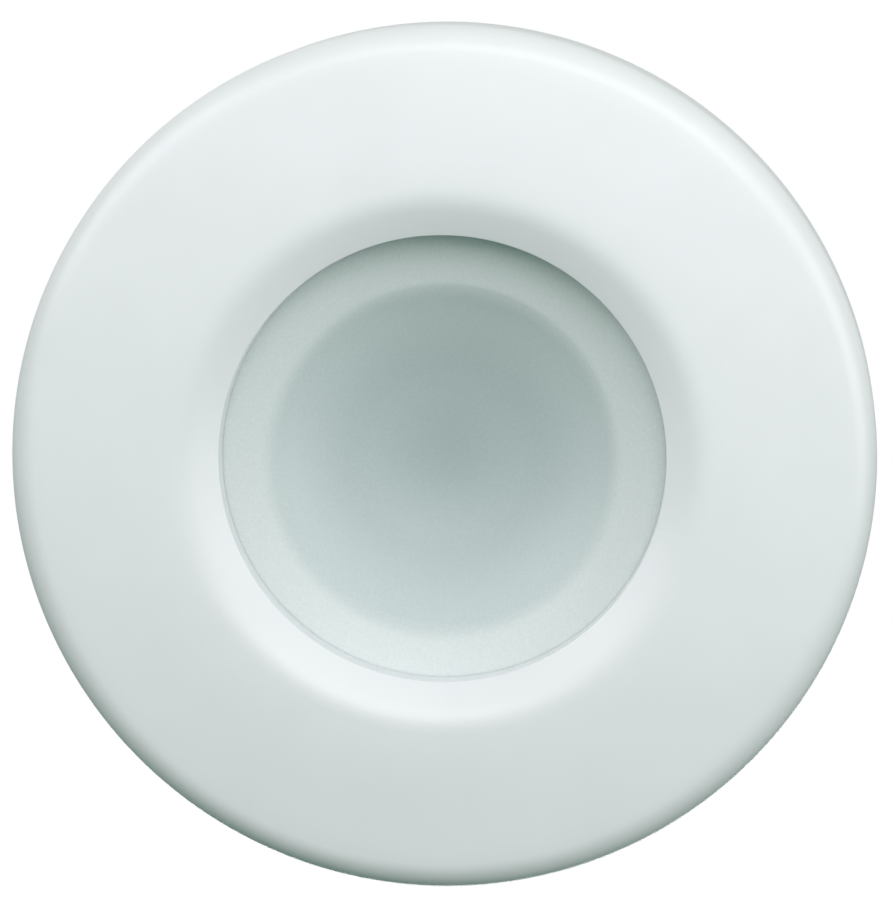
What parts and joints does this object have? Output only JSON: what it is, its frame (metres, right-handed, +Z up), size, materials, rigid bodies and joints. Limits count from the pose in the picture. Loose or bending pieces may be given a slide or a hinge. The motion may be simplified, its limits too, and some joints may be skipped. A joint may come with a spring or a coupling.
{
  "type": "underwater pool light",
  "caption": "Round underwater LED pool light: a white dished face ring around a recessed frosted lens, on a threaded barrel that clamps through the pool wall.",
  "frame": {"origin": "on the light's axis, in the plane of the pool wall's wet face, which the wall gasket's back presses on", "axes": "+Y along the light's axis, from the water into the wall; the lens looks out along -Y; +Z up; +X to the right as seen from the pool"},
  "size_m": [0.089, 0.0962, 0.089],
  "materials": {
    "white_face": "satin gloss",
    "lens": "frosted, translucent",
    "body_plastic": "satin",
    "reflector": "gloss",
    "silicone": "matt",
    "black_rubber": "matt",
    "nylon": "satin",
    "black_nylon": "satin",
    "circuit_board": "satin solder mask",
    "led": "gloss",
    "thermal_pad": "matt",
    "aluminium": "satin",
    "stainless": "satin",
    "brass": "satin",
    "copper": "enamelled copper wire",
    "capacitor_sleeve": "satin",
    "black_epoxy": "satin",
    "terminal_block": "satin",
    "red_lead": "satin",
    "black_lead": "satin"
  },
  "bodies": {
    "light": {"lens": "lens", "light_body": "body_plastic", "lens_clamp_ring": "body_plastic", "back_cap": "body_plastic", "reflector": "reflector", "lens_gasket": "silicone", "wall_gasket": "black_rubber", "cap_o_ring": "black_rubber", "gland_seal": "black_rubber", "gland_body": "black_nylon", "led_board": "circuit_board", "driver_board": "circuit_board", "led_1": "led", "led_2": "led", "led_3": "led", "led_4": "led", "led_5": "led", "led_6": "led", "led_7": "led", "thermal_pad": "thermal_pad", "heat_sink": "aluminium", "clamp_screw_1": "stainless", "clamp_screw_2": "stainless", "clamp_screw_3": "stainless", "clamp_screw_4": "stainless", "clamp_screw_5": "stainless", "clamp_screw_6": "stainless", "board_screw_1": "stainless", "board_screw_2": "stainless", "board_screw_3": "stainless", "driver_screw_1": "stainless", "driver_screw_2": "stainless", "driver_screw_3": "stainless", "cap_screw_1": "stainless", "cap_screw_2": "stainless", "cap_screw_3": "stainless", "standoff_1": "brass", "standoff_2": "brass", "standoff_3": "brass", "inductor": "copper", "capacitor_1": "capacitor_sleeve", "capacitor_2": "capacitor_sleeve", "driver_chip": "black_epoxy", "rectifier": "black_epoxy", "terminal_block": "terminal_block", "led_lead_red": "red_lead", "led_lead_black": "black_lead"},
    "face_ring": {"face_ring": "white_face"},
    "clamp_washers": {"rear_gasket": "black_rubber", "slip_washer": "nylon"},
    "locknut": {"locknut": "body_plastic"},
    "gland_washer": {"gland_thrust_washer": "nylon"},
    "gland_nut": {"gland_nut": "black_nylon"}
  },
  "joints": [
    {"name": "face_ring_twist", "type": "hinge", "parent": "light", "child": "face_ring", "pos_m": [0, -0.0085, 0], "axis": [0, -1, 0], "range_deg": [0, 27]},
    {"name": "clamp_washer_slide", "type": "slide", "parent": "light", "child": "clamp_washers", "axis": [0, 1, 0], "range_m": [-0.003, 0.0111]},
    {"name": "locknut_turn", "type": "hinge", "parent": "clamp_washers", "child": "locknut", "pos_m": [0, 0.016, 0], "axis": [0, 1, 0], "range_deg": [-480, 1800]},
    {"name": "gland_washer_slide", "type": "slide", "parent": "light", "child": "gland_washer", "axis": [0, 1, 0], "range_m": [0, 0.0045]},
    {"name": "gland_nut_turn", "type": "hinge", "parent": "gland_washer", "child": "gland_nut", "pos_m": [0, 0.074, 0], "axis": [0, 1, 0], "range_deg": [0, 1080]}
  ],
  "couplings": [
    {"joint": "clamp_washer_slide", "follows": "locknut_turn", "m_per_rad": 0.00035152},
    {"joint": "gland_washer_slide", "follows": "gland_nut_turn", "m_per_rad": 0.00023873}
  ]
}
